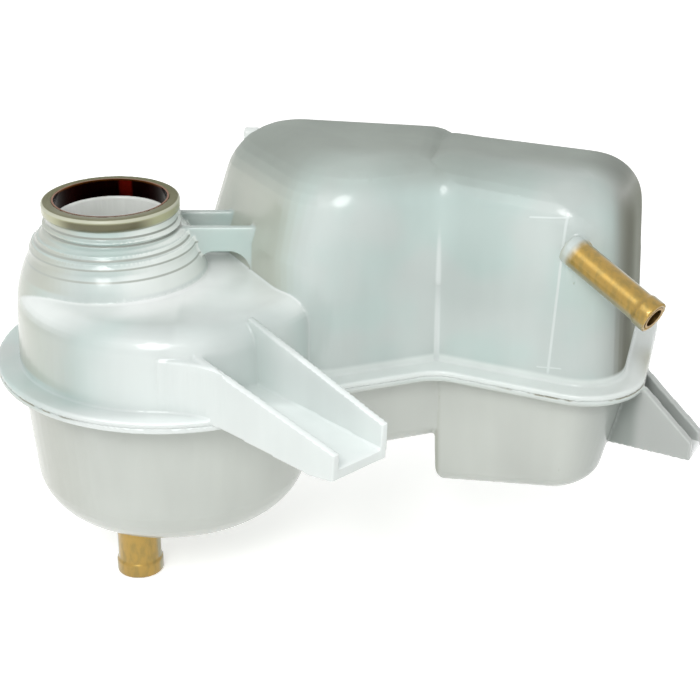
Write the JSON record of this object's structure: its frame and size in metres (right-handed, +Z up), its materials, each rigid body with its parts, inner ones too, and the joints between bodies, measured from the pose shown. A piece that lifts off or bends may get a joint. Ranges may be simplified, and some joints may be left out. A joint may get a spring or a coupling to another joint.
{
  "type": "coolant expansion tank",
  "caption": "Translucent welded plastic coolant expansion tank with a threaded filler neck, joined lobes, hose spigots with brass tubes and channel brackets.",
  "frame": {"origin": "centre of the filler mouth, on the neck's axis", "axes": "+Z up and out of the filler mouth, +X along the tank from the filler chamber to the end lobe, +Y to the back"},
  "size_m": [0.2803, 0.1921, 0.1718],
  "materials": {
    "polypropylene": "translucent, satin",
    "brass": "dull, drawn"
  },
  "bodies": {
    "root": {"upper_shell": "polypropylene", "lower_shell": "polypropylene", "neck_liner": "brass", "vent_spigot_tube": "brass", "feed_spigot_tube": "brass"}
  },
  "joints": []
}
